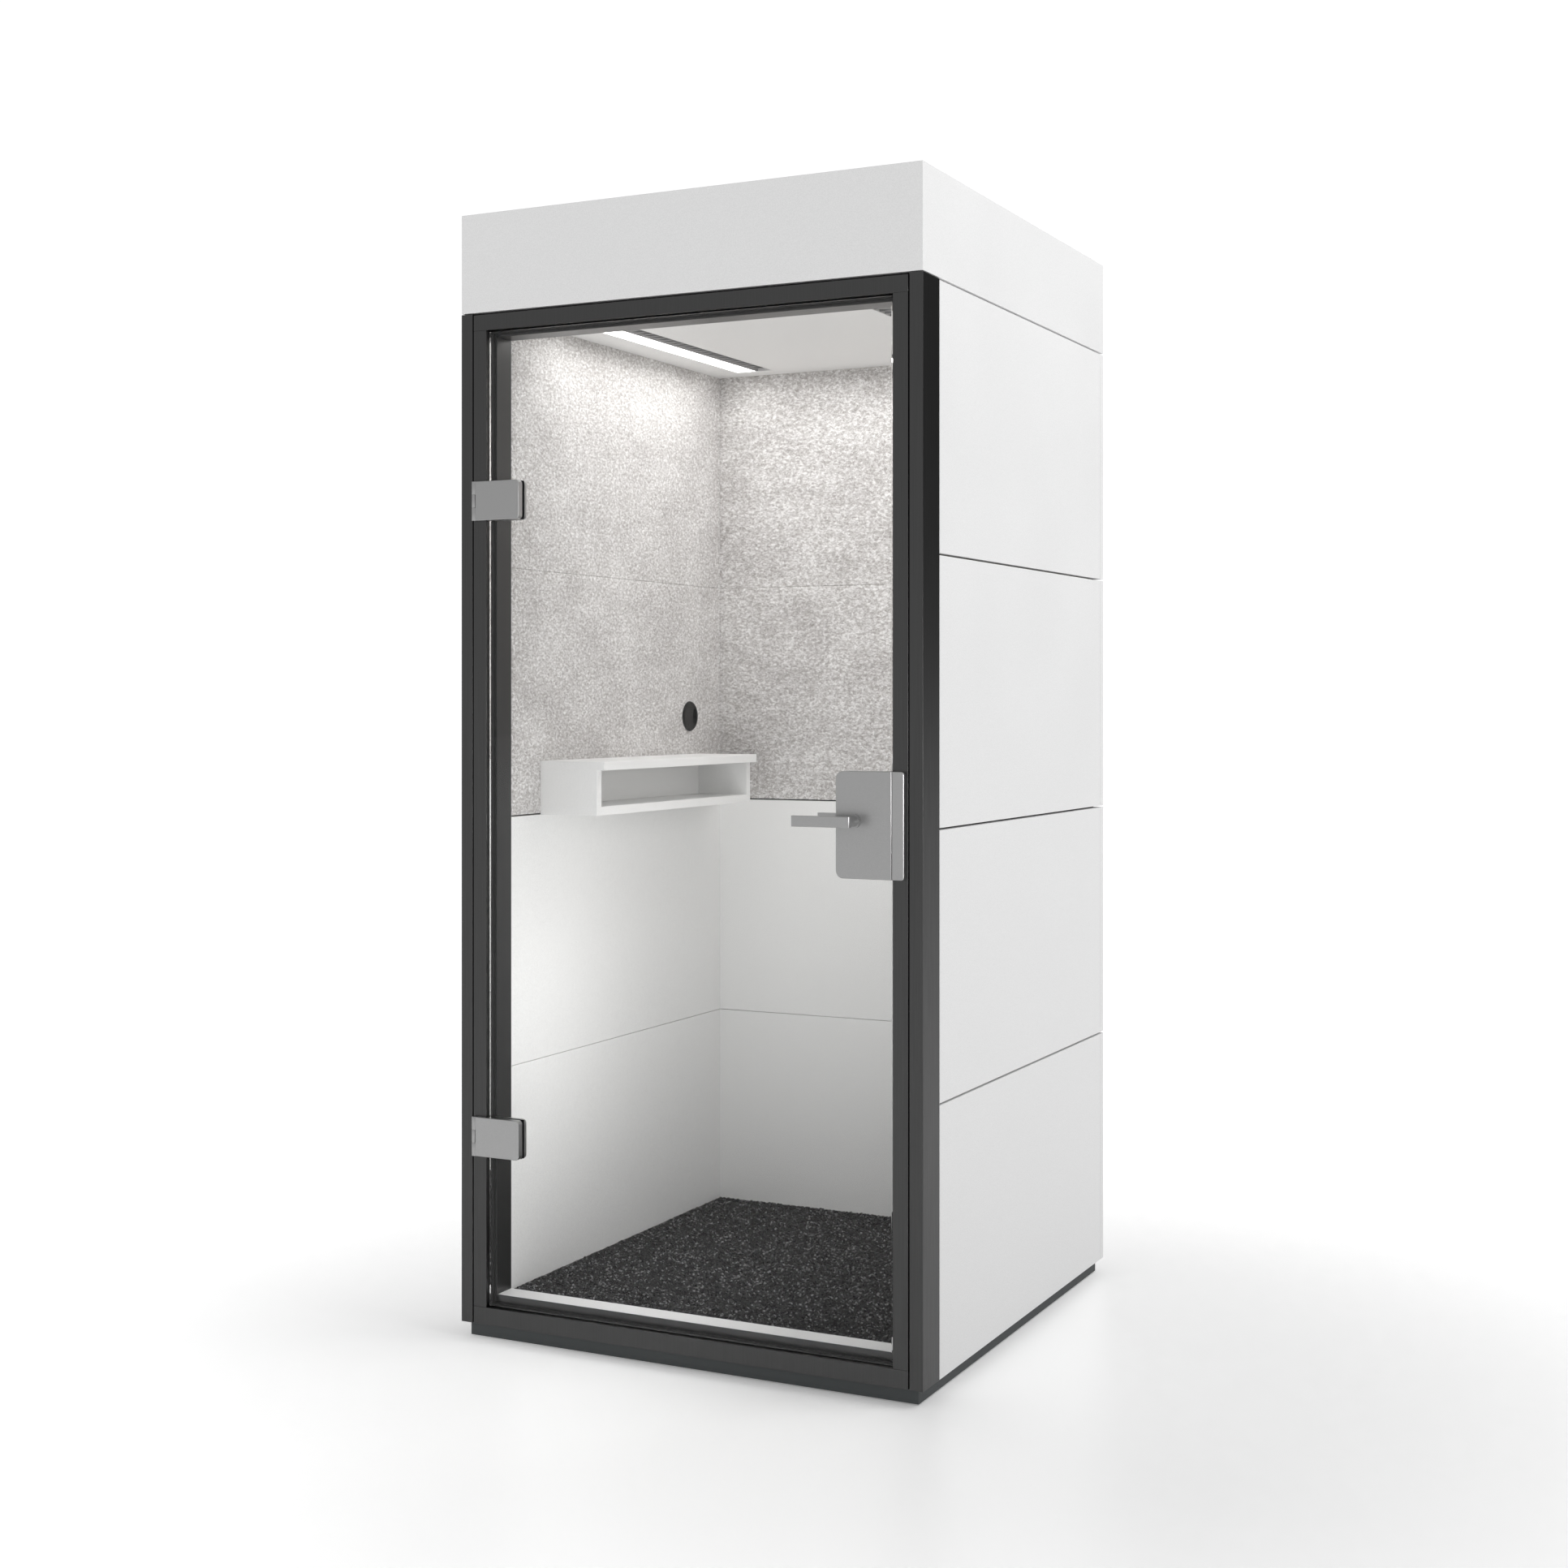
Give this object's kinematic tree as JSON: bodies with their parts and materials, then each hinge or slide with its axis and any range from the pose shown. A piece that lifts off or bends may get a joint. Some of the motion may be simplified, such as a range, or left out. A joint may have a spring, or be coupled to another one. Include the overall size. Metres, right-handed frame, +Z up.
{
  "type": "phone booth",
  "caption": "Free-standing acoustic phone booth with a frameless glass door on two plate hinges, a lever lock, felt walls, an open shelf, ceiling lights and a vented crown.",
  "frame": {"origin": "on the floor, under the middle of the bounding box, which the lever handle makes longer at the front", "axes": "+Z up, -Y out of the door's face, +X to the right of somebody who faces the door"},
  "size_m": [1, 1.099, 2.245],
  "materials": {
    "outer_laminate": "white satin laminate",
    "crown_lacquer": "white satin lacquer",
    "frame_anodised": "charcoal anodised, fine satin",
    "plinth_paint": "charcoal powder coat",
    "carcass_board": "raw board",
    "insulation": "matted fibre",
    "carpet": "dark flecked loop carpet",
    "lining_white": "white satin laminate",
    "felt": "pressed grey felt with loose fibres",
    "threshold": "white powder coat",
    "seal_rubber": "black, matt",
    "door_glass": "clear toughened, polished edges",
    "hardware": "satin stainless",
    "steel_plain": "bright steel",
    "shelf_white": "white satin laminate",
    "channel_paint": "white powder coat",
    "diffuser": "opal diffuser",
    "louvre": "grey moulded",
    "fan_plastic": "black moulded",
    "guard_paint": "charcoal powder coat",
    "grommet_gloss": "black, glossy"
  },
  "bodies": {
    "booth": {"air_louvres": "louvre", "base_deck": "carcass_board", "base_frame": "plinth_paint", "carpet": "carpet", "ceiling_panel": "lining_white", "corner_post_left": "frame_anodised", "corner_post_right": "frame_anodised", "crown": "crown_lacquer", "door_seal": "seal_rubber", "fan_guards": "guard_paint", "fan_housings": "fan_plastic", "felt_panels_back": "felt", "felt_panels_left": "felt", "felt_panels_right": "felt", "frame_head": "frame_anodised", "frame_sill": "frame_anodised", "grommet_sleeve": "grommet_gloss", "hinge_frame_leaves": "hardware", "hinge_pins": "steel_plain", "jamb_left": "frame_anodised", "jamb_right": "frame_anodised", "keeper": "hardware", "levelling_feet": "steel_plain", "light_channels": "channel_paint", "light_diffusers": "diffuser", "light_driver": "guard_paint", "lining_boards_back": "lining_white", "lining_boards_left": "lining_white", "lining_boards_right": "lining_white", "mains_inlet": "fan_plastic", "outer_panels_back": "outer_laminate", "outer_panels_left": "outer_laminate", "outer_panels_right": "outer_laminate", "plinth_skirt": "plinth_paint", "roof_frame": "carcass_board", "roof_lid": "crown_lacquer", "shelf_back": "shelf_white", "shelf_bottom": "shelf_white", "shelf_ends": "shelf_white", "shelf_top": "shelf_white", "subfloor": "carcass_board", "threshold_strip": "threshold", "wall_frame_back": "carcass_board", "wall_frame_left": "carcass_board", "wall_frame_right": "carcass_board", "wall_insulation": "insulation"},
    "door": {"door_glass": "door_glass", "hinge_front_plates": "hardware", "hinge_pads": "seal_rubber", "hinge_rear_plates": "hardware", "door_bolts": "steel_plain", "lock_case_front": "hardware", "lock_case_rear": "hardware"},
    "lever": {"lever_outer": "hardware", "lever_inner": "hardware", "lever_spindle": "steel_plain"},
    "latch": {"latch_bolt": "steel_plain"},
    "grommet_cap": {"grommet_cap": "grommet_gloss"},
    "fan_left": {"fan_rotor_left": "fan_plastic"},
    "fan_right": {"fan_rotor_right": "fan_plastic"}
  },
  "joints": [
    {"name": "door_swing", "type": "hinge", "parent": "booth", "child": "door", "pos_m": [-0.466, -0.4995, 1.038], "axis": [0, 0, -1], "range_deg": [0, 100]},
    {"name": "lever_turn", "type": "hinge", "parent": "door", "child": "lever", "pos_m": [0.3685, -0.4945, 1.054], "axis": [0, -1, 0], "range_deg": [0, 40], "stiffness_Nm_per_rad": 1, "springref_deg": -34.38},
    {"name": "latch_slide", "type": "slide", "parent": "door", "child": "latch", "axis": [-1, 0, 0], "range_m": [0, 0.01]},
    {"name": "grommet_turn", "type": "hinge", "parent": "booth", "child": "grommet_cap", "pos_m": [-0.433, 0.3305, 1.237], "axis": [1, 0, 0], "continuous": true},
    {"name": "fan_left_spin", "type": "hinge", "parent": "booth", "child": "fan_left", "pos_m": [-0.2, 0.034, 2.19], "axis": [0, 0, 1], "continuous": true},
    {"name": "fan_right_spin", "type": "hinge", "parent": "booth", "child": "fan_right", "pos_m": [0.2, 0.034, 2.19], "axis": [0, 0, 1], "continuous": true}
  ],
  "couplings": [
    {"joint": "latch_slide", "follows": "lever_turn", "m_per_rad": 0.0143}
  ]
}
